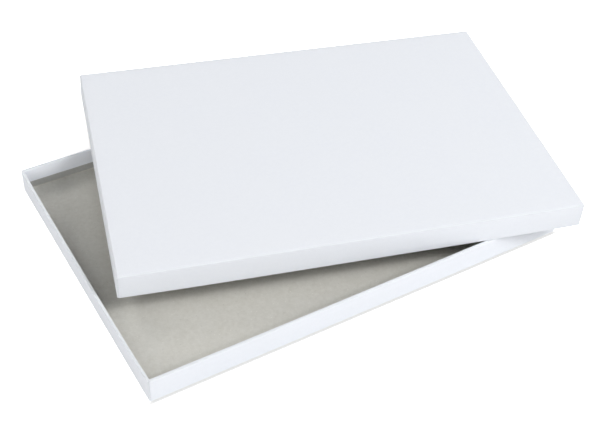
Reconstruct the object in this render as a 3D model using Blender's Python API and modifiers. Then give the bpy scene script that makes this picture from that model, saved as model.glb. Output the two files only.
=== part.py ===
"""Flat storage box: a shallow tray and its lid, both folded from grey board and covered in white paper.

Each half is a board blank with its walls folded up along half-cut scores, four corner stays of gummed
paper, and one sheet of covering paper that runs under the panel, up the walls, over the rim and inside.
The tray lies open side up with the middle of its underside at the origin. The lid lies askew on the
tray's rim, open side down, and lifts straight up. Metres, +Z up, +X along the tray's long side.
"""

import math

import bmesh
import bpy
from mathutils import Matrix, Vector

# Outside sizes of the covered tray.
TRAY_LENGTH = 0.440
TRAY_WIDTH = 0.305
TRAY_HEIGHT = 0.0265

# Sheet goods.
BOARD = 0.0020
PAPER = 0.0002
STAY_PAPER = 0.00015
GLUE = 0.0001

# A finished wall is board with glue and paper on both faces.
WALL = BOARD + 2.0 * (PAPER + GLUE)

# The lid slips over the tray with this much play on each side, and its skirt stops short of the table.
LID_PLAY = 0.0007
LID_LENGTH = TRAY_LENGTH + 2.0 * (WALL + LID_PLAY)
LID_WIDTH = TRAY_WIDTH + 2.0 * (WALL + LID_PLAY)
LID_HEIGHT = 0.0255

# Where the lid lies: centre of its top over the tray, turned about the vertical, resting on the rim.
LID_SHIFT_X = 0.0522
LID_SHIFT_Y = 0.0343
LID_TURN = math.radians(-15.85)
REST_GAP = 0.0003

# Folds of the covering paper: outer radius of the panel folds and upright corners, and of the rim folds.
FOLD_RADIUS = 0.0015
RIM_RADIUS = 0.0004
FOLD_STEPS = 8
RIM_STEPS = 4

# The paper is turned in over the rim by this much, and its ends taper away from the inner corners.
TURN_IN = 0.016
TURN_TAPER = 0.0008
SEAM = 0.00015

# Tabs of the short flaps go round the upright corners and lie under the ends of the long flaps.
TAB_LENGTH = 0.008
TAB_TAPER = 0.0015
TUCK = PAPER + GLUE

# Corner stays, one leg on each wall, bedded into the board.
STAY_LEG = 0.011
STAY_MARGIN = 0.0015

# Half-cut scores leave this much of the board's inner layer as the hinge, and wall ends keep apart.
SCORE_HINGE = 0.0007
WALL_END_GAP = 0.0001

# How far cutters reach past what they cut.
OVERSHOOT = 0.004


def clear_scene():
    for obj in list(bpy.data.objects):
        bpy.data.objects.remove(obj, do_unlink=True)


def make_material(name, colour, roughness):
    material = bpy.data.materials.new(name)
    material.use_nodes = True
    shader = material.node_tree.nodes["Principled BSDF"]
    shader.inputs["Base Color"].default_value = (*colour, 1.0)
    shader.inputs["Roughness"].default_value = roughness
    shader.inputs["Metallic"].default_value = 0.0
    material.diffuse_color = (*colour, 1.0)
    return material


def add_object(name, mesh, collection, parent, material=None):
    obj = bpy.data.objects.new(name, mesh)
    collection.objects.link(obj)
    obj.parent = parent
    if material:
        mesh.materials.append(material)
    return obj


def mesh_from(bm, name):
    mesh = bpy.data.meshes.new(name)
    bm.to_mesh(mesh)
    bm.free()
    return mesh


def block_mesh(name, low, high, soft_edge=None, width=0.0):
    """A block between two corners, with the edge through soft_edge (a test on its middle) chamfered."""
    bm = bmesh.new()
    bmesh.ops.create_cube(bm, size=1.0)
    middle = (Vector(low) + Vector(high)) / 2.0
    size = Vector(high) - Vector(low)
    bmesh.ops.scale(bm, vec=size, verts=bm.verts)
    bmesh.ops.translate(bm, vec=middle, verts=bm.verts)
    if soft_edge:
        chosen = [e for e in bm.edges if soft_edge((e.verts[0].co + e.verts[1].co) / 2.0)]
        bmesh.ops.bevel(bm, geom=chosen, offset=width, offset_type="OFFSET", segments=1, affect="EDGES")
    return mesh_from(bm, name)


def as_cutter(obj):
    obj.hide_render = True
    obj.display_type = "WIRE"
    return obj


def mirror(obj, centre, along_x, along_y):
    """Repeats a cutter on the opposite side, or on all four corners, of the half it belongs to."""
    modifier = obj.modifiers.new("Mirror", "MIRROR")
    modifier.use_axis = (along_x, along_y, False)
    modifier.mirror_object = centre
    modifier.merge_threshold = 0.0001
    modifier.use_mirror_merge = False


def cut(obj, cutter):
    modifier = obj.modifiers.new(cutter.name, "BOOLEAN")
    modifier.operation = "DIFFERENCE"
    modifier.solver = "EXACT"
    modifier.object = cutter


def corner_relief(name, reach_x, reach_y, height, collection, parent):
    """What is taken off one upright corner of the board: the corner square of the blank, and the shallow
    beds that the stay (both walls) and the paper tab (long wall) press into the outside of the board."""
    inner_x = reach_x - PAPER - GLUE - BOARD - WALL_END_GAP
    inner_y = reach_y - PAPER - GLUE - BOARD - WALL_END_GAP
    bed_x = reach_x - PAPER - GLUE - STAY_PAPER - GLUE
    bed_y = reach_y - TUCK - PAPER - GLUE - STAY_PAPER - GLUE
    start_x = reach_x - FOLD_RADIUS - STAY_LEG - 3.0 * GLUE
    start_y = reach_y - FOLD_RADIUS - STAY_LEG - 3.0 * GLUE
    out_x = reach_x + OVERSHOOT
    out_y = reach_y + OVERSHOOT
    outline = (
        (out_x, start_y),
        (out_x, out_y),
        (start_x, out_y),
        (start_x, bed_y),
        (inner_x, bed_y),
        (inner_x, inner_y),
        (bed_x, inner_y),
        (bed_x, start_y),
    )
    curve = bpy.data.curves.new(name, "CURVE")
    curve.dimensions = "2D"
    curve.fill_mode = "BOTH"
    curve.extrude = (height + 2.0 * OVERSHOOT) / 2.0
    spline = curve.splines.new("POLY")
    spline.points.add(len(outline) - 1)
    for point, (x, y) in zip(spline.points, outline):
        point.co = (x, y, 0.0, 1.0)
    spline.use_cyclic_u = True
    guide = add_object(name + "_outline", curve, collection, None)
    bpy.context.view_layer.update()
    evaluated = guide.evaluated_get(bpy.context.evaluated_depsgraph_get())
    mesh = bpy.data.meshes.new_from_object(evaluated)
    bpy.data.objects.remove(guide, do_unlink=True)
    bm = bmesh.new()
    bm.from_mesh(mesh)
    bmesh.ops.remove_doubles(bm, verts=bm.verts, dist=0.00001)
    bmesh.ops.recalc_face_normals(bm, faces=bm.faces)
    bmesh.ops.translate(bm, vec=(0.0, 0.0, height / 2.0), verts=bm.verts)
    bm.to_mesh(mesh)
    bm.free()
    return as_cutter(add_object(name, mesh, collection, parent))


def add_board(name, length, width, height, parts, cutters, parent, material):
    """The folded blank: panel and four walls of one board, open at the top."""
    out_x = length / 2.0 - PAPER - GLUE
    out_y = width / 2.0 - PAPER - GLUE
    under = PAPER + GLUE
    floor = under + BOARD
    top = height - PAPER - GLUE
    board = add_object(
        name, block_mesh(name, (-out_x, -out_y, under), (out_x, out_y, top)), parts, parent, material
    )

    in_x = out_x - BOARD
    in_y = out_y - BOARD
    inside = block_mesh(name + "_inside", (-in_x, -in_y, floor), (in_x, in_y, top + OVERSHOOT))
    cut(board, as_cutter(add_object(name + "_inside", inside, cutters, parent)))

    # Half-cut scores: the fold opens a square groove along the outside and leaves the inner layer.
    long_score = block_mesh(
        name + "_long_score",
        (-out_x - OVERSHOOT, in_y, under - OVERSHOOT),
        (out_x + OVERSHOOT, out_y + OVERSHOOT, floor),
        lambda p: abs(p.y - in_y) < 1e-6 and abs(p.z - floor) < 1e-6,
        SCORE_HINGE,
    )
    long_score = as_cutter(add_object(name + "_long_score", long_score, cutters, parent))
    mirror(long_score, parent, False, True)
    cut(board, long_score)
    short_score = block_mesh(
        name + "_short_score",
        (in_x, -out_y - OVERSHOOT, under - OVERSHOOT),
        (out_x + OVERSHOOT, out_y + OVERSHOOT, floor),
        lambda p: abs(p.x - in_x) < 1e-6 and abs(p.z - floor) < 1e-6,
        SCORE_HINGE,
    )
    short_score = as_cutter(add_object(name + "_short_score", short_score, cutters, parent))
    mirror(short_score, parent, True, False)
    cut(board, short_score)

    relief = corner_relief(name + "_corner", length / 2.0, width / 2.0, height, cutters, parent)
    mirror(relief, parent, True, True)
    cut(board, relief)
    return board


def corner_arc(depth_x, depth_y):
    """Plan of a sheet round an upright corner, as (from the short side's face, from the long side's face),
    for a sheet that lies depth_x behind the short face and depth_y behind the long face."""
    points = []
    for step in range(FOLD_STEPS + 1):
        turn = math.radians(90.0) * step / FOLD_STEPS
        radius_x = FOLD_RADIUS - depth_x
        radius_y = FOLD_RADIUS - depth_y
        radius = radius_x + (radius_y - radius_x) * step / FOLD_STEPS
        points.append((radius * math.cos(turn) - FOLD_RADIUS, radius * math.sin(turn) - FOLD_RADIUS))
    return points


def add_stay(name, length, width, height, side_x, side_y, parts, parent, material):
    """A strip of gummed paper folded round one upright corner of the board."""
    depth_x = PAPER + GLUE
    depth_y = TUCK + PAPER + GLUE
    plan = [(-depth_x, -FOLD_RADIUS - STAY_LEG)]
    plan += corner_arc(depth_x, depth_y)
    plan += [(-FOLD_RADIUS - STAY_LEG, -depth_y)]
    bm = bmesh.new()
    low = FOLD_RADIUS + STAY_MARGIN
    row = [
        bm.verts.new((side_x * (length / 2.0 + x), side_y * (width / 2.0 + y), low)) for x, y in plan
    ]
    strip = [bm.edges.new(pair) for pair in zip(row[:-1], row[1:])]
    lifted = bmesh.ops.extrude_edge_only(bm, edges=strip)
    verts = [g for g in lifted["geom"] if isinstance(g, bmesh.types.BMVert)]
    bmesh.ops.translate(bm, vec=(0.0, 0.0, height - STAY_MARGIN - low), verts=verts)
    bmesh.ops.recalc_face_normals(bm, faces=bm.faces)
    bm.faces.ensure_lookup_table()
    first = bm.faces[0]
    outward = Vector((side_x, side_y, 0.0))
    if first.normal.dot(outward) < 0.0:
        bmesh.ops.reverse_faces(bm, faces=bm.faces)
    stay = add_object(name, mesh_from(bm, name), parts, parent, material)
    thicken(stay, STAY_PAPER)
    return stay


def thicken(obj, thickness):
    """Gives a sheet its thickness behind its visible face."""
    modifier = obj.modifiers.new("Sheet", "SOLIDIFY")
    modifier.thickness = thickness
    modifier.offset = -1.0
    modifier.use_even_offset = True
    modifier.use_quality_normals = True
    obj.data.shade_smooth()
    obj.data.set_sharp_from_angle(angle=math.radians(40.0))


def flap_profile(height):
    """The path of a flap's visible face, from the panel round the fold, up the wall, over the rim and
    down inside, as (depth behind the wall's face, height, kind of place)."""
    path = []
    for step in range(1, FOLD_STEPS + 1):
        turn = math.radians(90.0) * step / FOLD_STEPS
        path.append((FOLD_RADIUS * (1.0 - math.sin(turn)), FOLD_RADIUS * (1.0 - math.cos(turn)), "fold"))
    for step in range(RIM_STEPS + 1):
        turn = math.radians(90.0) * step / RIM_STEPS
        drop = RIM_RADIUS * (1.0 - math.sin(turn))
        path.append((RIM_RADIUS * (1.0 - math.cos(turn)), height - drop, "rim" if step else "wall"))
    for step in range(RIM_STEPS + 1):
        turn = math.radians(90.0) * step / RIM_STEPS
        drop = RIM_RADIUS * (1.0 - math.cos(turn))
        path.append((WALL - RIM_RADIUS * (1.0 - math.sin(turn)), height - drop, "rim"))
    path.append((WALL, height - TURN_IN, "edge"))
    return path


def flap_end(depth, kind, seam):
    """How far short of the neighbouring wall's face a flap ends at one place on its path."""
    if kind in ("fold", "wall"):
        return FOLD_RADIUS + seam
    if kind == "edge":
        return WALL + TURN_TAPER
    mitre = depth + SEAM / 2.0
    if depth < FOLD_RADIUS:
        rounding = FOLD_RADIUS - math.sqrt(FOLD_RADIUS**2 - (FOLD_RADIUS - depth) ** 2)
        return max(mitre, rounding)
    return mitre


def extrude_chain(bm, edges, place):
    """Pulls a chain of edges out into a new strip of faces and sets the strip's far side with place."""
    result = bmesh.ops.extrude_edge_only(bm, edges=edges)
    fresh = [g for g in result["geom"] if isinstance(g, bmesh.types.BMVert)]
    chain = [g for g in result["geom"] if isinstance(g, bmesh.types.BMEdge)]
    for vert in fresh:
        vert.co = place(vert.co)
    return [edge for edge in chain if all(v in fresh for v in edge.verts)]


def add_wrap(name, length, width, height, parts, parent, material):
    """The covering paper, folded from one sheet that starts as the panel's rectangle.

    The four flaps are pulled out along the same path. On the two short sides the ends of each flap go on
    round the upright corners as tabs, tucked under the ends of the long flaps, which stop at a seam beside
    the corner. On the rim the flaps meet in mitres."""
    bm = bmesh.new()
    bmesh.ops.create_grid(bm, x_segments=1, y_segments=1, size=1.0)
    half = Vector((length / 2.0 - FOLD_RADIUS, width / 2.0 - FOLD_RADIUS, 1.0))
    bmesh.ops.scale(bm, vec=half, verts=bm.verts)
    panel_edges = list(bm.edges)
    path = flap_profile(height)

    for quarter in range(4):
        # In the frame of a side, x points out of the wall and y runs along it.
        frame = Matrix.Rotation(math.radians(90.0) * quarter, 4, "Z")
        inverse = frame.inverted()
        short_side = quarter % 2 == 0
        reach = length / 2.0 if short_side else width / 2.0
        span = width / 2.0 if short_side else length / 2.0
        seam = 0.0 if short_side else SEAM
        chain = [e for e in panel_edges if all((inverse @ v.co).x > reach * 0.9 for v in e.verts)]
        ends = {-1: [], 1: []}
        for depth, z, kind in path:

            def place(co, depth=depth, z=z, kind=kind):
                side = math.copysign(1.0, (inverse @ co).y)
                return frame @ Vector((reach - depth, side * (span - flap_end(depth, kind, seam)), z))

            before = set(bm.edges)
            chain = extrude_chain(bm, chain, place)
            if short_side and kind in ("fold", "wall"):
                for edge in set(bm.edges) - before - set(chain):
                    side = int(math.copysign(1.0, (inverse @ edge.verts[0].co).y))
                    ends[side].append(edge)
        if short_side:
            for side in (-1, 1):
                add_tab(bm, ends[side], side, reach, span, height, frame, inverse)

    bmesh.ops.remove_doubles(bm, verts=bm.verts, dist=0.000001)
    bmesh.ops.dissolve_degenerate(bm, edges=bm.edges, dist=0.000001)
    bmesh.ops.recalc_face_normals(bm, faces=bm.faces)
    panel = max(bm.faces, key=lambda face: face.calc_area())
    if panel.normal.z > 0.0:
        bmesh.ops.reverse_faces(bm, faces=bm.faces)
    wrap = add_object(name, mesh_from(bm, name), parts, parent, material)
    thicken(wrap, PAPER)
    return wrap


def add_tab(bm, edges, side, reach, span, height, frame, inverse):
    """Carries the end of a short flap round the upright corner, the bottom of it as a rounded point, and
    on behind the long flap as a tab with slanting ends."""
    bend = corner_arc(0.0, TUCK)
    chain = edges
    for out, along in bend[1:]:

        def place(co, out=out, along=along):
            z = (inverse @ co).z
            full = out + FOLD_RADIUS, along + FOLD_RADIUS
            low = max(0.0, FOLD_RADIUS - z)
            shrink = math.sqrt(max(0.0, FOLD_RADIUS**2 - low**2)) / FOLD_RADIUS
            x = reach - FOLD_RADIUS + full[0] * shrink
            y = side * (span - FOLD_RADIUS + full[1] * shrink)
            return frame @ Vector((x, y, z))

        chain = extrude_chain(bm, chain, place)
    upright = [e for e in chain if min((inverse @ v.co).z for v in e.verts) > FOLD_RADIUS - 0.00001]

    def place_end(co):
        z = (inverse @ co).z
        slant = TAB_TAPER if z < height / 2.0 else -TAB_TAPER
        x = reach - FOLD_RADIUS - TAB_LENGTH
        return frame @ Vector((x, side * (span - TUCK), z + slant))

    extrude_chain(bm, upright, place_end)


def add_half(prefix, length, width, height, upturned, parts, cutters, parent, looks):
    add_board(prefix + "_board", length, width, height, parts, cutters, parent, looks["board"])
    add_wrap(prefix + "_paper_wrap", length, width, height, parts, parent, looks["paper"])
    for side_x, hand in ((-1, "left"), (1, "right")):
        for side_y, end in ((-1, "front"), (1, "back")):
            # Turning the lid over about its long axis swaps its front and back.
            local_y = -side_y if upturned else side_y
            name = f"{prefix}_stay_{end}_{hand}"
            add_stay(name, length, width, height, side_x, local_y, parts, parent, looks["stay"])


def main():
    clear_scene()
    parts = bpy.data.collections.new("flat_storage_box")
    cutters = bpy.data.collections.new("flat_storage_box_cutters")
    for collection in (parts, cutters):
        bpy.context.scene.collection.children.link(collection)
    looks = {
        "board": make_material("grey_board", (0.43, 0.42, 0.38), 0.92),
        "paper": make_material("white_paper", (0.86, 0.87, 0.88), 0.62),
        "stay": make_material("gummed_paper", (0.72, 0.66, 0.55), 0.75),
    }

    tray_frame = bpy.data.objects.new("tray_frame", None)
    parts.objects.link(tray_frame)
    add_half("tray", TRAY_LENGTH, TRAY_WIDTH, TRAY_HEIGHT, False, parts, cutters, tray_frame, looks)

    # The lid is built like the tray and turned over, so its frame sits at the middle of its top.
    lid_frame = bpy.data.objects.new("lid_frame", None)
    parts.objects.link(lid_frame)
    lid_frame.location = (LID_SHIFT_X, LID_SHIFT_Y, TRAY_HEIGHT + REST_GAP + LID_HEIGHT)
    lid_frame.rotation_euler = (math.radians(180.0), 0.0, LID_TURN)
    add_half("lid", LID_LENGTH, LID_WIDTH, LID_HEIGHT, True, parts, cutters, lid_frame, looks)


main()
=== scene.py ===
# %% [markdown]
# # A flat storage box in white paper and grey board
# The box is a shallow tray with a lid that lies askew across it. Both halves are made the same way: a blank
# of grey board is folded up along half-cut scores, its corners are held by gummed paper, and one sheet of
# white paper is pasted round it, over the rim and a little way down inside. This notebook dresses the
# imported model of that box: it folds the two sheets of paper, lets the long walls spring out a little, gives
# paper, board and strips their own surfaces, and sets up the table, the lamps and the camera.

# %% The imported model
import math

import bmesh
import bpy
from mathutils import Matrix, Vector


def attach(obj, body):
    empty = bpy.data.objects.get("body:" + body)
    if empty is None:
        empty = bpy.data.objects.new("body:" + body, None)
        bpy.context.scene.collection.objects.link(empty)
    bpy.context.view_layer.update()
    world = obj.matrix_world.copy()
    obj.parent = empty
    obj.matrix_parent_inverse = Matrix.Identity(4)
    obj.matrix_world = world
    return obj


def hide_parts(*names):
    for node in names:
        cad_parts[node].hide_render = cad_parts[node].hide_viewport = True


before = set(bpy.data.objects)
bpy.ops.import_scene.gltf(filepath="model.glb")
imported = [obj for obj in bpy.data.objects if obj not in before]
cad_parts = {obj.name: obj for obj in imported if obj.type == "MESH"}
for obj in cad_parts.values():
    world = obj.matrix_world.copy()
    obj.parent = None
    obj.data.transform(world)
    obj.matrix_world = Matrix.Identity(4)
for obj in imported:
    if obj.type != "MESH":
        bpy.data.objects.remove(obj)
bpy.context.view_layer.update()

print("nodes:", sorted(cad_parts))

# %% [markdown]
# ## The sizes of the box
# Everything is in metres. The tray is 440 by 305 mm and 26.5 mm high. The lid is made to slip over it, so it
# is a wall and a little play larger on every side. A finished wall is 2 mm board with glue and paper on both
# faces, and the paper bends round the board in folds of 1.5 mm, but round the thin rim much more tightly.
#
# Each half is measured in a frame of its own, in which it lies panel down and open side up. Its `bow` says
# how far the rim of each wall springs out in the middle. Its `lean` says how far the left wall stands in, at
# the panel and at the rim. Turned over, the lid's +y wall is the one at the front.

# %% Sizes
TRAY = {"name": "tray", "length": 0.440, "width": 0.305, "height": 0.0265}
LID = {"name": "lid", "length": 0.4466, "width": 0.3116, "height": 0.0255}
TRAY["bow"] = {"-x": 0.0011, "+x": 0.0010, "-y": 0.0005, "+y": 0.0003}
LID["bow"] = {"-x": 0.0, "+x": 0.0010, "-y": 0.0010, "+y": 0.0013}
TRAY["lean"] = (0.0, 0.0)
LID["lean"] = (0.0016, 0.0004)

PAPER = 0.0002  # thickness of the covering paper
WALL = 0.0026  # thickness of a finished wall
FOLD = 0.0015  # radius of the bends at the panel and at the upright corners
RIM = 0.0004  # radius of the two bends over the rim
TURN_IN = 0.016  # how far the paper goes down inside
TURN_IN_TAPER = 0.0008  # how much more its ends are cut back at its lower edge
SEAM = 0.00015  # how far short of the corner a long flap ends
TUCK = 0.0003  # how much deeper a tab lies, under the end of the long flap
TAB = 0.008  # length of a tab
TAB_SLANT = 0.0015  # how much a tab narrows above and below

LID_PLACE = (0.0522, 0.0343, 0.0523)
LID_TURN = math.radians(-15.85)
TINY = 0.000001  # places closer than this are one place

# %% [markdown]
# ## Small helpers for working in edit mode
# A Blender operator acts on whatever is selected, so each step first selects what it works on. By hand that
# is done with the mouse. Here `choose_edges` does it by place: it looks at every edge and selects those whose
# ends both pass a test. `nudge` moves single vertices by a rule, for the small offsets that no operator
# gives.


# %% Helpers: begin a piece, choose by place, nudge
def deselect_all():
    if bpy.context.object and bpy.context.object.mode != "OBJECT":
        bpy.ops.object.mode_set(mode="OBJECT")
    bpy.ops.object.select_all(action="DESELECT")


def choose_edges(test):
    """Selects the edges of the piece in edit mode whose ends both pass the test, and counts them."""
    bpy.ops.mesh.select_mode(type="EDGE")
    bpy.ops.mesh.select_all(action="DESELECT")
    bm = bmesh.from_edit_mesh(bpy.context.object.data)
    found = [edge for edge in bm.edges if all(test(v.co) for v in edge.verts)]
    for edge in found:
        edge.select_set(True)
    bmesh.update_edit_mesh(bpy.context.object.data)
    return len(found)


def nudge(place):
    """Moves every vertex of the piece in edit mode to place(co), where that isn't None, and counts them."""
    bm = bmesh.from_edit_mesh(bpy.context.object.data)
    moved = 0
    for vert in bm.verts:
        new = place(vert.co.copy())
        if new is not None:
            vert.co = new
            moved += 1
    bmesh.update_edit_mesh(bpy.context.object.data)
    return moved


def sign(value):
    return 1.0 if value >= 0.0 else -1.0


# %% [markdown]
# ## The covering paper: the sheet and its flaps
# On the real box a flat sheet lies paste side up, the blank is set down in its middle, and the four flaps
# are drawn up the walls and turned in over the rim. It could be made as a box with bevelled edges, but then
# the paper would have no thickness and no ends. So it is folded here as it is on the bench: a grid is the
# part under the panel, and each side of it is pulled up, with `spin` for every bend and `extrude` for every
# flat stretch. The grid's cells are 10 mm wide, so that the long walls have points to bend at later. Each
# half is built panel down, so a flap goes up, over the rim and down inside.

# %% The sheet under the panel
CELLS_LONG = 44
CELLS_WIDE = 30


def lay_sheet(half):
    deselect_all()
    bpy.ops.mesh.primitive_grid_add(x_subdivisions=CELLS_LONG, y_subdivisions=CELLS_WIDE, size=1.0)
    sheet = bpy.context.object
    sheet.name = sheet.data.name = half["name"] + "_paper"
    bpy.ops.object.mode_set(mode="EDIT")
    flat = (half["length"] - 2.0 * FOLD, half["width"] - 2.0 * FOLD, 1.0)
    bpy.ops.transform.resize(value=flat, center_override=(0.0, 0.0, 0.0))
    return sheet


def pull(vector, times=1):
    """Extrudes the chosen chain of edges in equal steps."""
    for _ in range(times):
        bpy.ops.mesh.extrude_region_move(TRANSFORM_OT_translate={"value": Vector(vector) / times})


def bend(centre, axis, steps):
    """Carries the chosen chain of edges round a quarter turn."""
    bpy.ops.mesh.spin(steps=steps, dupli=False, angle=math.radians(90.0), center=centre, axis=axis)


# %% One flap, from the fold to the turned-in edge
FOLD_STEPS = 8
RIM_STEPS = 4
WALL_ROWS = 3
TURN_IN_ROWS = 4


def fold_flap(half, out):
    """out points out of the wall: (1, 0, 0) for the right-hand flap."""
    out = Vector(out)
    up = Vector((0.0, 0.0, 1.0))
    hinge = up.cross(out)
    reach = half["length"] / 2.0 if abs(out.x) > 0.5 else half["width"] / 2.0
    height = half["height"]
    edge = reach - FOLD
    count = choose_edges(lambda p: p.dot(out) > edge - TINY and abs(p.z) < TINY)
    bend(out * edge + up * FOLD, hinge, FOLD_STEPS)
    pull(up * (height - RIM - FOLD), WALL_ROWS)
    bend(out * (reach - RIM) + up * (height - RIM), hinge, RIM_STEPS)
    pull(-out * (FOLD - RIM))
    pull(-out * (WALL - RIM - FOLD))
    bend(out * (reach - WALL + RIM) + up * (height - RIM), hinge, RIM_STEPS)
    pull(-up * (TURN_IN - RIM), TURN_IN_ROWS)
    return count


# %% [markdown]
# ## The ends of the flaps
# The flaps still end square. On the bench the long flaps are cut straight, a hair short of the corner. Here
# that cut narrows to nothing at the fold below, so that no slit opens beside the rounded point. From the rim
# inwards all ends are cut to a mitre, so that the turned-in paper doesn't lie double, and they are cut back
# a little more towards the turn-in's lower edge. That edge is cut by hand and never quite straight.


# %% Trim the ends
def trim_ends(half, long_side):
    """Cuts the ends of the two long or the two short flaps back from the corner, row by row."""
    reach, span = half["width"] / 2.0, half["length"] / 2.0
    if not long_side:
        reach, span = span, reach

    def place(p):
        across, along = (abs(p.y), p.x) if long_side else (abs(p.x), p.y)
        depth = reach - across
        at_end = abs(abs(along) - (span - FOLD)) < TINY
        if not at_end or p.z < TINY or depth > WALL + TINY:
            return None
        back = SEAM * min(p.z / FOLD, 1.0) if long_side else 0.0
        if depth > FOLD + TINY:
            back = depth - FOLD + SEAM / 2.0
        if depth > WALL - TINY:
            back += TURN_IN_TAPER * (half["height"] - p.z) / TURN_IN
        along -= sign(along) * back
        return Vector((along, p.y, p.z)) if long_side else Vector((p.x, along, p.z))

    return nudge(place)


# %% Let the knife waver
WAVER_HEIGHT = 0.00012
WAVER = ((1.0, 31.0, 0.6), (0.6, 83.0, 2.1), (0.3, 211.0, 0.0))  # share, radians a metre, start


def waver(half):
    """Lets the cut edge of the turn-in run a little uneven, as a knife leaves it."""
    low = half["height"] - TURN_IN

    def place(p):
        inwards = max(abs(p.x) - half["length"] / 2.0, abs(p.y) - half["width"] / 2.0)
        if abs(p.z - low) > TINY or inwards > -WALL + TINY:
            return None
        along = p.x + p.y * 1.3
        wave = sum(share * math.sin(along * rate + start) for share, rate, start in WAVER)
        return p + Vector((0.0, 0.0, WAVER_HEIGHT * wave))

    return nudge(place)


# %% [markdown]
# ## The corners
# The ends of the short flaps go on round the upright corners. One `spin` of the whole end, from the panel to
# the rim, gives all of it: the rounded point below, the upright bend, and the small fan on top of the rim.
# Behind the end of the long flap it lies one paper deeper, and runs on as a tab with slanting ends.

# %% One corner and its tab
TAB_ROWS = 2


def fold_corner(half, side_x, side_y):
    reach_x, reach_y, height = half["length"] / 2.0, half["width"] / 2.0, half["height"]
    pivot = Vector((side_x * (reach_x - FOLD), side_y * (reach_y - FOLD), 0.0))

    def at_end(p):
        return abs(p.y - pivot.y) < TINY and side_x * (p.x - pivot.x) > -TINY

    count = choose_edges(at_end)
    bend(pivot, (0.0, 0.0, -side_x * side_y), FOLD_STEPS)
    bpy.ops.mesh.select_all(action="SELECT")
    bpy.ops.mesh.remove_doubles(threshold=TINY / 2.0)

    def tuck(p):
        x, y = side_x * (p.x - pivot.x), side_y * (p.y - pivot.y)
        if x < -TINY or y < TINY or x > FOLD + TINY:
            return None
        turn = math.atan2(y, max(x, 0.0)) / math.radians(90.0)
        radius = math.hypot(x, y)
        shrink = 1.0 - TUCK * turn / FOLD
        drop = TUCK * turn * radius / FOLD if p.z > height - RIM + TINY else 0.0
        return Vector((pivot.x + side_x * x * shrink, pivot.y + side_y * y * shrink, p.z - drop))

    nudge(tuck)

    def at_tab(p):
        return (
            abs(p.x - pivot.x) < TINY
            and abs(side_y * p.y - (reach_y - TUCK)) < TINY
            and FOLD - TINY < p.z < height - RIM + TINY
        )

    choose_edges(at_tab)
    pull((-side_x * TAB, 0.0, 0.0), TAB_ROWS)
    middle = (pivot.x, pivot.y, height / 2.0)
    slant = 1.0 - 2.0 * TAB_SLANT / (height - FOLD - RIM)
    bpy.ops.transform.resize(value=(1.0, 1.0, slant), center_override=middle)
    return count


# %% [markdown]
# ## Finish the sheet
# The faces are turned to look outwards, the sheet gets its 0.2 mm behind its visible face, and a number is
# painted on every vertex that lies in a bend. The surface uses it later: paper is rubbed smooth by the bone
# folder exactly there, and it is painted greyer there as painted shade.

# %% Mark the bends, then turn the faces out and give the sheet its thickness
SMOOTH_UNDER = math.radians(35.0)


def mark_bends(sheet, half):
    reach_x, reach_y, height = half["length"] / 2.0, half["width"] / 2.0, half["height"]
    bends = sheet.data.attributes.new("bend", "FLOAT", "POINT")
    marked = 0
    for vert, value in zip(sheet.data.vertices, bends.data):
        x, y, z = abs(vert.co.x), abs(vert.co.y), vert.co.z
        low = z < FOLD - TINY and (x > reach_x - FOLD + TINY or y > reach_y - FOLD + TINY)
        rim = z > height - RIM + TINY
        corner = x > reach_x - FOLD + TINY and y > reach_y - FOLD + TINY
        value.value = 1.0 if low or rim or corner else 0.0
        marked += low or rim or corner
    return marked


def finish_sheet(sheet, half):
    bpy.ops.mesh.select_all(action="SELECT")
    bpy.ops.mesh.normals_make_consistent(inside=False)
    bm = bmesh.from_edit_mesh(sheet.data)
    panel = min(bm.faces, key=lambda face: face.calc_center_median().length)
    if panel.normal.z > 0.0:
        bpy.ops.mesh.flip_normals()
    bpy.ops.object.mode_set(mode="OBJECT")
    print(sheet.name, "vertices in a bend:", mark_bends(sheet, half))
    thick = sheet.modifiers.new("Thickness", "SOLIDIFY")
    thick.thickness = PAPER
    thick.offset = -1.0
    thick.use_even_offset = True
    thick.use_quality_normals = True
    bpy.ops.object.modifier_apply(modifier="Thickness")
    bpy.ops.object.shade_smooth_by_angle(angle=SMOOTH_UNDER)


# %% All the steps, in the order of the bench
def cover(half):
    sheet = lay_sheet(half)
    for long_side in (True, False):
        for side in (1, -1):
            edges = fold_flap(half, (0, side, 0) if long_side else (side, 0, 0))
            print(sheet.name, "edges folded up:", edges)
        print(sheet.name, "end points trimmed:", trim_ends(half, long_side))
    print(sheet.name, "edge points:", waver(half))
    for side_x in (-1.0, 1.0):
        for side_y in (-1.0, 1.0):
            print(sheet.name, "edges taken round a corner:", fold_corner(half, side_x, side_y))
    finish_sheet(sheet, half)
    return sheet


# %% [markdown]
# ## Walls that spring out
# The walls of a real box never stay quite straight: between the stiff corners their rims spring out about a
# millimetre, and the lid's left wall leans a little, so it shows as a thin strip. Board, stays and paper have
# to move together, so one rule, `sprung`, gives the new place of any point of a half. The spring and the
# lean begin some way in on the panel and are full just short of the wall, so nothing is torn between them.

# %% The rule
BOW_BEGINS, BOW_FULL = 0.030, 0.005
LEAN_BEGINS, LEAN_FULL = 0.045, 0.013


def ramp(value, start, full):
    """0 at start, 1 at full, with soft ends."""
    t = min(max((value - start) / (full - start), 0.0), 1.0)
    return t * t * (3.0 - 2.0 * t)


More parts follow.
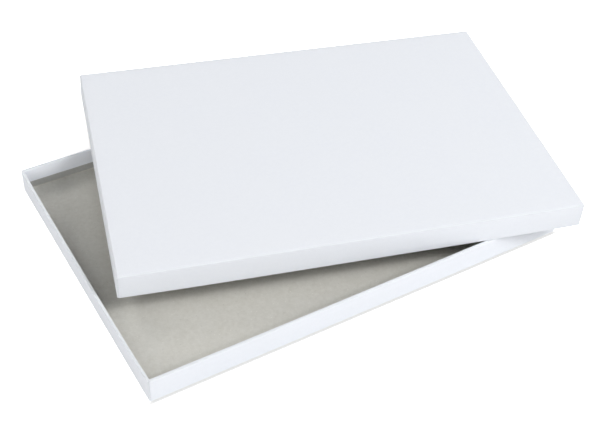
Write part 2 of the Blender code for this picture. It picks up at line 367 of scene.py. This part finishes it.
def sprung(p, half):
    """p is a point of a half in its own frame, panel down."""
    reach_x, reach_y = half["length"] / 2.0, half["width"] / 2.0
    rise = min(max(p.z / half["height"], 0.0), 1.0)
    along_x, along_y = min(abs(p.x) / reach_x, 1.0), min(abs(p.y) / reach_y, 1.0)
    bow_x = half["bow"]["+x" if p.x > 0.0 else "-x"]
    bow_x *= ramp(abs(p.x), reach_x - BOW_BEGINS, reach_x - BOW_FULL)
    bow_y = half["bow"]["+y" if p.y > 0.0 else "-y"]
    bow_y *= ramp(abs(p.y), reach_y - BOW_BEGINS, reach_y - BOW_FULL)
    foot, rim = half["lean"]
    lean = (foot + (rim - foot) * rise) * ramp(-p.x, reach_x - LEAN_BEGINS, reach_x - LEAN_FULL)
    return Vector(
        (
            p.x + sign(p.x) * bow_x * rise * (1.0 - along_y**4) + lean,
            p.y + sign(p.y) * bow_y * rise * (1.0 - along_x**4),
            p.z,
        )
    )


# %% Use the rule on a piece
HALF_TURN = math.radians(180.0)
TURNED_OVER = Matrix.Rotation(HALF_TURN, 4, "X")
TURNED_ASKEW = Matrix.Rotation(LID_TURN, 4, "Z")
TRAY["frame"] = Matrix.Identity(4)
LID["frame"] = Matrix.Translation(LID_PLACE) @ TURNED_ASKEW @ TURNED_OVER


def spring(piece, half):
    """Moves a piece's vertices by the rule. The half's frame places the half in the scene."""
    back = half["frame"].inverted()
    for vert in piece.data.vertices:
        vert.co = half["frame"] @ sprung(back @ vert.co, half)
    piece.data.update()
    print(piece.name, "sprung, vertices:", len(piece.data.vertices))


# %% [markdown]
# ## The tray's paper
# The tray is built where it stands, so its sheet only has to be folded and sprung. It takes the place of the
# packed sheet, which is quite straight.

# %% Cover the tray
tray_paper = cover(TRAY)
spring(tray_paper, TRAY)
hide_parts("tray_paper_wrap")
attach(tray_paper, "tray")
print("tray paper faces:", len(tray_paper.data.polygons))

# %% [markdown]
# ## The lid's paper
# The lid is covered in the same way and then turned over, turned askew and laid on the tray's rim. Its place
# is applied to its mesh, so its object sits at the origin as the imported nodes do.

# %% Cover the lid and lay it down
lid_paper = cover(LID)
lid_paper.rotation_euler = (HALF_TURN, 0.0, LID_TURN)
lid_paper.location = LID_PLACE
bpy.ops.object.transform_apply(location=True, rotation=True, scale=True)
spring(lid_paper, LID)
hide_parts("lid_paper_wrap")
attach(lid_paper, "lid")
print("lid paper faces:", len(lid_paper.data.polygons))

# %% [markdown]
# ## Board and stays
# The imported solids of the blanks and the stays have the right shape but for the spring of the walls. A copy
# of each is merged, because its mesh is loose triangles. The blanks are then cut by a row of planes each way
# with `bisect`, so that their long walls have points to bend at, and every copy is moved by the same rule.

# %% Take up the blanks and the stays
BOARD_PARTS = 8  # from the middle of a blank to its wall


def cut_across(half):
    """Cuts the blank in edit mode by planes across its length and its width."""
    ways = ((Vector((1, 0, 0)), half["length"] / 2.0), (Vector((0, 1, 0)), half["width"] / 2.0))
    for axis, reach in ways:
        for step in range(1 - BOARD_PARTS, BOARD_PARTS):
            bpy.ops.mesh.select_all(action="SELECT")
            point = half["frame"] @ (axis * reach * step / BOARD_PARTS)
            bpy.ops.mesh.bisect(plane_co=point, plane_no=half["frame"].to_3x3() @ axis)


def take_up(name, half, slot):
    deselect_all()
    piece = bpy.data.objects.new(name + "_sprung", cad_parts[name].data.copy())
    bpy.context.scene.collection.objects.link(piece)
    piece.select_set(True)
    bpy.context.view_layer.objects.active = piece
    bpy.ops.object.mode_set(mode="EDIT")
    bpy.ops.mesh.select_all(action="SELECT")
    bpy.ops.mesh.remove_doubles(threshold=TINY)
    if slot == "grey_board":
        cut_across(half)
    bpy.ops.object.mode_set(mode="OBJECT")
    spring(piece, half)
    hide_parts(name)
    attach(piece, half["name"])
    return piece


# %% Both blanks and all eight stays
blanks, stays = {}, {}
for half in (TRAY, LID):
    blanks[half["name"]] = take_up(half["name"] + "_board", half, "grey_board")
    for corner in ("front_left", "front_right", "back_left", "back_right"):
        name = half["name"] + "_stay_" + corner
        stays[name] = take_up(name, half, "gummed_paper")

# %% [markdown]
# ## Surfaces: how a material is put together
# A surface is a small graph of nodes. The helpers below add a node, set its inputs and wire it, so that each
# recipe reads as a list of steps. All patterns read Object coordinates, which are metres here: a noise of
# scale 400 has lumps of about 2.5 mm on the real box.


# %% Helpers: a surface and its nodes
def new_surface(name):
    surface = bpy.data.materials.new(name)
    surface.use_nodes = True
    shader = surface.node_tree.nodes["Principled BSDF"]
    shader.inputs["Metallic"].default_value = 0.0
    return surface, surface.node_tree, shader


def dress(piece, surface):
    piece.data.materials.clear()
    piece.data.materials.append(surface)
    print(surface.name, "on", piece.name)


def add(tree, kind, inputs=(), **settings):
    """Adds a node. inputs is a list of (socket, value or another node's output)."""
    node = tree.nodes.new(kind)
    for key, value in settings.items():
        setattr(node, key, value)
    for socket, value in inputs:
        if isinstance(value, bpy.types.NodeSocket):
            tree.links.new(value, node.inputs[socket])
        else:
            node.inputs[socket].default_value = value
    return node


def calculate(tree, operation, *values):
    return add(tree, "ShaderNodeMath", list(enumerate(values)), operation=operation).outputs[0]


# %% Helpers: places and patterns
def place_of(tree, turn=0.0, stretch=(1.0, 1.0, 1.0)):
    """Object coordinates, turned about the vertical and stretched."""
    coordinates = add(tree, "ShaderNodeTexCoord")
    mapping = add(tree, "ShaderNodeMapping", [("Vector", coordinates.outputs["Object"])])
    mapping.inputs["Rotation"].default_value = (0.0, 0.0, turn)
    mapping.inputs["Scale"].default_value = stretch
    return mapping.outputs["Vector"]


def noise(tree, place, scale, detail, rough):
    inputs = [("Vector", place), ("Scale", scale), ("Detail", detail), ("Roughness", rough)]
    return add(tree, "ShaderNodeTexNoise", inputs).outputs["Fac"]


def spread(tree, value, low, high, out_low=0.0, out_high=1.0):
    """Stretches the range low..high of a value to out_low..out_high."""
    inputs = [("Value", value), ("From Min", low), ("From Max", high)]
    inputs += [("To Min", out_low), ("To Max", out_high)]
    return add(tree, "ShaderNodeMapRange", inputs).outputs["Result"]


# %% Helpers: colours and bumps
def blend(tree, amount, first, second, kind="MIX"):
    """Goes from the first colour to the second as the amount goes from 0 to 1."""
    node = add(tree, "ShaderNodeMix", data_type="RGBA", blend_type=kind)
    for index, value in ((0, amount), (6, first), (7, second)):
        if isinstance(value, bpy.types.NodeSocket):
            tree.links.new(value, node.inputs[index])
        else:
            node.inputs[index].default_value = value if index == 0 else (*value, 1.0)
    return node.outputs[2]


def bump(tree, height, distance, below=None):
    """A bump as high as distance, on top of the one below."""
    inputs = [("Height", height), ("Distance", distance), ("Strength", 1.0)]
    if below:
        inputs.append(("Normal", below))
    return add(tree, "ShaderNodeBump", inputs).outputs["Normal"]


# %% [markdown]
# ## White paper
# The covering paper is a smooth, uncoated, slightly bluish white. Held to the light such paper is cloudy,
# with patches of a few millimetres, and its face has a fine tooth. Pasted down on board it also follows the
# board's slight unevenness, in waves as long as a finger. In the bends the bone folder has pressed the tooth
# flat, so the paper is less rough there; it is also painted a shade greyer there, as painted shade that tones
# down the light on the folds.

# %% The white paper
PAPER_WAVES, PAPER_CLOUDS, PAPER_TOOTH = 24.0, 300.0, 2600.0  # lumps in a metre
THIN_PAPER = (0.820, 0.846, 0.896)
THICK_PAPER = (0.838, 0.864, 0.912)
PAPER_ON_A_WAVE = (0.838, 0.861, 0.903)
BEND_PAINTED_SHADE = (0.775, 0.800, 0.838)
RUBBED_SMOOTHER = -0.08  # added to the roughness in a bend
PAPER_SHEEN = 0.22


def make_white_paper():
    surface, tree, shader = new_surface("white_paper_finish")
    place = place_of(tree)
    waves = noise(tree, place, PAPER_WAVES, 2.0, 0.4)
    clouds = noise(tree, place, PAPER_CLOUDS, 3.0, 0.55)
    tooth = noise(tree, place, PAPER_TOOTH, 3.0, 0.6)
    bends = add(tree, "ShaderNodeAttribute", attribute_name="bend").outputs["Fac"]

    colour = blend(tree, spread(tree, clouds, 0.3, 0.7), THIN_PAPER, THICK_PAPER)
    colour = blend(tree, spread(tree, waves, 0.25, 0.75, out_high=0.5), colour, PAPER_ON_A_WAVE)
    # Painted shade: the bends are greyer, which tones down the light on the folds.
    colour = blend(tree, bends, colour, BEND_PAINTED_SHADE)
    tree.links.new(colour, shader.inputs["Base Color"])

    roughness = spread(tree, tooth, 0.3, 0.7, out_low=0.70, out_high=0.80)
    polish = calculate(tree, "MULTIPLY_ADD", bends, RUBBED_SMOOTHER, roughness)
    tree.links.new(polish, shader.inputs["Roughness"])
    shader.inputs["Specular IOR Level"].default_value = PAPER_SHEEN

    normal = bump(tree, waves, 0.00004)
    normal = bump(tree, clouds, 0.000012, normal)
    normal = bump(tree, tooth, 0.000008, normal)
    tree.links.new(normal, shader.inputs["Normal"])
    return surface


white_paper = make_white_paper()
for piece in (tray_paper, lid_paper):
    dress(piece, white_paper)
print("white paper nodes:", len(white_paper.node_tree.nodes))

# %% [markdown]
# ## Grey board
# Grey board is pressed from waste paper. Its grey is warm and cloudy, full of short fibres that lie every
# way, a few of them dark, with darker and lighter specks of old print and unpulped paper. It is quite matt.
# The clouds are slow noise, the fibres are noise stretched long and thin in three directions, and the specks
# are the cells of a Voronoi pattern of which only a few are kept. On the walls, below the turned-in paper,
# the board is painted darker than on the floor, as painted shade.

# %% Fibres and specks
FIBRE_STRETCH = (0.16, 1.0, 1.0)
FIBRE_LAYERS = ((0.0, 5200.0), (1.2, 4600.0), (-0.7, 3900.0))  # turn in radians, lumps in a metre
DARK_SPECKS, LIGHT_SPECKS = 620.0, 480.0  # cells in a metre
SPECK_SHARE = 0.04  # of the cells
SPECK_SIZE = 0.20  # of a cell


def fibre_layer(tree, turn, scale):
    return noise(tree, place_of(tree, turn, FIBRE_STRETCH), scale, 2.0, 0.6)


def specks(tree, place, scale):
    """1 in the middle of a few cells of a Voronoi pattern, else 0."""
    cells = add(tree, "ShaderNodeTexVoronoi", [("Vector", place), ("Scale", scale), ("Randomness", 1.0)])
    pick = add(tree, "ShaderNodeSeparateColor", [("Color", cells.outputs["Color"])]).outputs[0]
    kept = spread(tree, pick, 1.0 - SPECK_SHARE, 1.0 - SPECK_SHARE + 0.01)
    spot = spread(tree, cells.outputs["Distance"], SPECK_SIZE, SPECK_SIZE * 0.6)
    return calculate(tree, "MULTIPLY", kept, spot)


# %% The grey board
BOARD_CLOUDS, BOARD_MOTTLE = 38.0, 260.0  # lumps in a metre
DARK_MOTTLE, LIGHT_MOTTLE = (0.480, 0.471, 0.426), (0.556, 0.549, 0.508)
CLOUD = (0.530, 0.527, 0.495)
PALE_FIBRE, DARK_FIBRE = (0.590, 0.585, 0.548), (0.360, 0.350, 0.310)
DARK_SPECK, LIGHT_SPECK = (0.300, 0.300, 0.290), (0.700, 0.690, 0.650)
WALL_PAINTED_SHADE = (0.69, 0.70, 0.73)


def make_grey_board(name, turn, shade, foot):
    """shade multiplies the board's colours. foot is the pair of heights where floor ends and wall begins, and
    with it the painted shade of the walls.
    """
    surface, tree, shader = new_surface(name)
    place = place_of(tree, turn)
    clouds = noise(tree, place, BOARD_CLOUDS, 3.0, 0.5)
    mottle = noise(tree, place, BOARD_MOTTLE, 4.0, 0.6)
    along, across, slanting = [fibre_layer(tree, turn + by, scale) for by, scale in FIBRE_LAYERS]
    fibres = blend(tree, 0.5, blend(tree, 0.5, along, across), slanting)

    def tone(colour):
        return tuple(part * share for part, share in zip(colour, shade))

    colour = blend(tree, spread(tree, mottle, 0.3, 0.7), tone(DARK_MOTTLE), tone(LIGHT_MOTTLE))
    colour = blend(tree, spread(tree, clouds, 0.3, 0.7, out_high=0.4), colour, tone(CLOUD))
    colour = blend(tree, spread(tree, fibres, 0.42, 0.58, out_high=0.35), colour, tone(PALE_FIBRE))
    stray = spread(tree, along, 0.30, 0.44, out_low=0.18, out_high=0.0)
    colour = blend(tree, stray, colour, tone(DARK_FIBRE))
    colour = blend(tree, specks(tree, place, DARK_SPECKS), colour, tone(DARK_SPECK))
    colour = blend(tree, specks(tree, place, LIGHT_SPECKS), colour, tone(LIGHT_SPECK))
    height = add(tree, "ShaderNodeSeparateXYZ", [("Vector", place)]).outputs["Z"]
    # Painted shade: the board of the walls is darker than the floor's.
    colour = blend(tree, spread(tree, height, *foot), colour, WALL_PAINTED_SHADE, "MULTIPLY")
    tree.links.new(colour, shader.inputs["Base Color"])

    roughness = spread(tree, mottle, 0.3, 0.7, out_low=0.86, out_high=0.96)
    tree.links.new(roughness, shader.inputs["Roughness"])
    shader.inputs["Specular IOR Level"].default_value = 0.2
    normal = bump(tree, clouds, 0.00008)
    normal = bump(tree, mottle, 0.00003, normal)
    normal = bump(tree, fibres, 0.00003, normal)
    tree.links.new(normal, shader.inputs["Normal"])
    return surface


# %% Board on both halves
BOARDS = (  # half, turn of the pattern, shade, heights where floor ends and wall begins
    ("tray", 0.0, (1.196, 1.193, 1.193), (0.0026, 0.0034)),
    # The lid's board is darker than the tray's: painted shade, for the dark under the lid.
    ("lid", -LID_TURN, (0.90, 0.90, 0.90), (0.0497, 0.0489)),
)
for name, turn, shade, foot in BOARDS:
    dress(blanks[name], make_grey_board(name + "_board_finish", turn, shade, foot))

# %% [markdown]
# ## Gummed paper
# The stays that hold the upright corners are strips of brown gummed paper, hidden between board and covering
# paper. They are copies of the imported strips, moved with the board. Kraft paper is ribbed by the wire it was
# made on and has long fibres.

# %% The gummed paper
KRAFT_DARK, KRAFT_LIGHT = (0.420, 0.290, 0.170), (0.560, 0.410, 0.260)
KRAFT_RIB = (0.640, 0.490, 0.330)
KRAFT_RIBS, KRAFT_FIBRES = 380.0, 3000.0  # scales of the two patterns


def make_gummed_paper():
    surface, tree, shader = new_surface("gummed_paper_finish")
    inputs = [("Vector", place_of(tree)), ("Scale", KRAFT_RIBS), ("Distortion", 0.6)]
    ribs = add(tree, "ShaderNodeTexWave", inputs, bands_direction="Z").outputs["Fac"]
    fibres = noise(tree, place_of(tree, 0.4, (0.2, 1.0, 1.0)), KRAFT_FIBRES, 3.0, 0.6)
    colour = blend(tree, spread(tree, fibres, 0.35, 0.65), KRAFT_DARK, KRAFT_LIGHT)
    colour = blend(tree, spread(tree, ribs, 0.0, 1.0, out_high=0.15), colour, KRAFT_RIB)
    tree.links.new(colour, shader.inputs["Base Color"])
    roughness = spread(tree, fibres, 0.3, 0.7, out_low=0.5, out_high=0.66)
    tree.links.new(roughness, shader.inputs["Roughness"])
    tree.links.new(bump(tree, ribs, 0.000015), shader.inputs["Normal"])
    return surface


gummed_paper = make_gummed_paper()
for stay in stays.values():
    dress(stay, gummed_paper)

# %% [markdown]
# ## The table
# The box stands on a plain white table. In the picture the table is brighter than the film can hold, so only
# the deep shadow under the box's edges is left of it. For the camera the table is therefore matt and 2.4
# times as bright as white, so that it still catches that shadow, and further away it is plain white. The
# hair-thin shadow along the tray's front would be lost in such brightness, so a soft line is painted there.
# For all other light the table is a plain pale one, so it throws no more light on the box than a real one.

# %% Table
TABLE_SIZE = 8.0
TABLE_BELOW = 0.0002  # keeps the table clear of the tray's underside

deselect_all()
bpy.ops.mesh.primitive_plane_add(size=TABLE_SIZE, location=(0.0, 0.0, -TABLE_BELOW))
table = bpy.context.object
table.name = "table"


def ray_is(tree, *kinds):
    """1 where the ray is one of these kinds, such as "Camera" or "Glossy", else 0."""
    path = add(tree, "ShaderNodeLightPath")
    total = path.outputs["Is " + kinds[0] + " Ray"]
    for kind in kinds[1:]:
        total = calculate(tree, "MAXIMUM", total, path.outputs["Is " + kind + " Ray"])
    return total


def mix_shaders(tree, amount, first, second):
    return add(tree, "ShaderNodeMixShader", [(0, amount), (1, first), (2, second)]).outputs[0]


# %% The painted line of shadow
LINE_BEGINS, LINE_FULL = 0.0027, 0.0002  # in front of the tray
LINE_ENDS, LINE_GONE = 0.0005, 0.0010  # under the tray
LINE_FADES, LINE_PAST = 0.004, 0.001  # before and past the tray's left and right ends


def painted_line(tree, place):
    """1 in the line, 0 away from it."""
    apart = add(tree, "ShaderNodeSeparateXYZ", [("Vector", place)])
    front = -TRAY["width"] / 2.0
    end = TRAY["length"] / 2.0
    near = spread(tree, apart.outputs["Y"], front - LINE_BEGINS, front - LINE_FULL)
    before = spread(tree, apart.outputs["Y"], front + LINE_GONE, front + LINE_ENDS)
    sideways = calculate(tree, "ABSOLUTE", apart.outputs["X"])
    along = spread(tree, sideways, end - LINE_FADES, end + LINE_PAST, out_low=1.0, out_high=0.0)
    depth = calculate(tree, "MULTIPLY", near, before)
    return calculate(tree, "MULTIPLY", depth, along)


# %% The table's surface
WHITE = (1.0, 1.0, 1.0, 1.0)
PALE = (0.76, 0.76, 0.76, 1.0)
REST_OF_GAIN = (0.4, 0.4, 0.4, 1.0)  # two whites and this make 2.4
PLAIN_FROM, PLAIN_FULL = 0.7, 1.1  # metres from the tray's middle
LINE_DARKEST = 0.76  # where white is 1


def make_table_surface():
    surface, tree, shader = new_surface("table_surface")
    shader.inputs["Base Color"].default_value = PALE
    shader.inputs["Roughness"].default_value = 1.0
    shader.inputs["Specular IOR Level"].default_value = 0.0
    glow = add(tree, "ShaderNodeEmission", [("Color", WHITE), ("Strength", 1.0)]).outputs[0]
    matt = add(tree, "ShaderNodeBsdfDiffuse", [("Color", WHITE)]).outputs[0]
    dimmer = add(tree, "ShaderNodeBsdfDiffuse", [("Color", REST_OF_GAIN)]).outputs[0]
    bright = add(tree, "ShaderNodeAddShader", [(0, matt), (1, matt)]).outputs[0]
    bright = add(tree, "ShaderNodeAddShader", [(0, bright), (1, dimmer)]).outputs[0]
    place = place_of(tree)
    away = add(tree, "ShaderNodeVectorMath", [(0, place)], operation="LENGTH").outputs["Value"]
    seen = mix_shaders(tree, spread(tree, away, PLAIN_FROM, PLAIN_FULL), bright, glow)

    depth = painted_line(tree, place)
    strength = spread(tree, depth, 0.0, 1.0, out_low=1.0, out_high=LINE_DARKEST)
    line = add(tree, "ShaderNodeEmission", [("Color", WHITE), ("Strength", strength)]).outputs[0]
    touched = calculate(tree, "GREATER_THAN", depth, 0.0)
    seen = mix_shaders(tree, touched, seen, line)
    mirrored = mix_shaders(tree, ray_is(tree, "Glossy", "Transmission"), shader.outputs[0], glow)
    mix = mix_shaders(tree, ray_is(tree, "Camera"), mirrored, seen)
    tree.links.new(mix, tree.nodes["Material Output"].inputs["Surface"])
    return surface


table.data.materials.append(make_table_surface())
print("table at", table.location.z)

# %% [markdown]
# ## Light
# Product pictures like this are lit by large soft boxes all round. Here nine of them hang four metres away,
# so that their light is even from one end of the box to the other. The strongest are at the front right and
# the right, so the lid's front stays light and its left side falls off. The upper one at the front right is
# smaller, which makes the lid's shadow in the tray clearer. Low ones at the front left reach in under the
# lid, a low one at the left is slightly warm, and two behind light the far sides.

# %% Lamps and world
NEUTRAL = (1.0, 1.0, 1.0)
WARM = (1.0, 0.975, 0.935)
LAMPS = (  # name, degrees round from the front by way of the right, degrees up, metres wide, watts, tint
    ("front_right_low", 40.0, 32.0, 1.6, 20.0, NEUTRAL),
    ("front_right", 40.0, 44.0, 1.2, 60.0, NEUTRAL),
    ("right", 60.0, 32.0, 1.6, 54.0, NEUTRAL),
    ("back_right", 150.0, 44.0, 1.6, 20.0, NEUTRAL),
    ("back_left", 210.0, 44.0, 1.6, 37.0, NEUTRAL),
    ("left_low", 265.0, 22.0, 1.6, 34.0, WARM),
    ("left", 285.0, 44.0, 1.6, 19.0, NEUTRAL),
    ("front_left", 325.0, 22.0, 1.6, 26.0, NEUTRAL),
    ("front_left_low", 325.0, 14.0, 1.6, 24.0, NEUTRAL),
)
AIM = Vector((0.03, 0.0, 0.03))
LAMP_DISTANCE = 4.0


def hang_lamp(name, round_about, up, size, watts, tint):
    """A square soft box aimed at the box."""
    turn, tilt = math.radians(round_about), math.radians(up)
    direction = Vector((math.sin(turn) * math.cos(tilt), -math.cos(turn) * math.cos(tilt), math.sin(tilt)))
    light = bpy.data.lights.new(name, "AREA")
    light.shape = "SQUARE"
    light.size = size
    light.energy = watts
    light.color = tint
    lamp = bpy.data.objects.new(name, light)
    bpy.context.scene.collection.objects.link(lamp)
    lamp.location = AIM + direction * LAMP_DISTANCE
    lamp.rotation_euler = (-direction).to_track_quat("-Z", "Y").to_euler()
    return lamp


for settings in LAMPS:
    lamp = hang_lamp(*settings)
    print("lamp", lamp.name, "hangs at", [round(part, 2) for part in lamp.location])

world = bpy.data.worlds.new("studio")
world.use_nodes = True
bpy.context.scene.world = world
studio = world.node_tree
backdrop = studio.nodes["Background"]
backdrop.inputs["Color"].default_value = WHITE
studio.links.new(ray_is(studio, "Camera", "Glossy", "Transmission"), backdrop.inputs["Strength"])

# %% [markdown]
# ## Camera
# The picture was taken from the front left and well above, with a longish lens. The place and the angle come
# from fitting the edges of tray and lid to the photograph, to within about half a pixel.

# %% Camera and colour
CAMERA_PLACE = (-0.4090, -0.6708, 0.7099)
CAMERA_ANGLES = (0.834229, -0.036541, -0.530744)
FILM_WIDTH = 36.0
LENS = 63.156

camera_data = bpy.data.cameras.new("camera")
camera = bpy.data.objects.new("camera", camera_data)
bpy.context.scene.collection.objects.link(camera)
camera.location = CAMERA_PLACE
camera.rotation_euler = CAMERA_ANGLES
camera_data.sensor_width = FILM_WIDTH
camera_data.lens = LENS
camera_data.clip_start = 0.01
bpy.context.scene.camera = camera
bpy.context.scene.view_settings.view_transform = "Standard"
print("camera lens:", camera_data.lens)
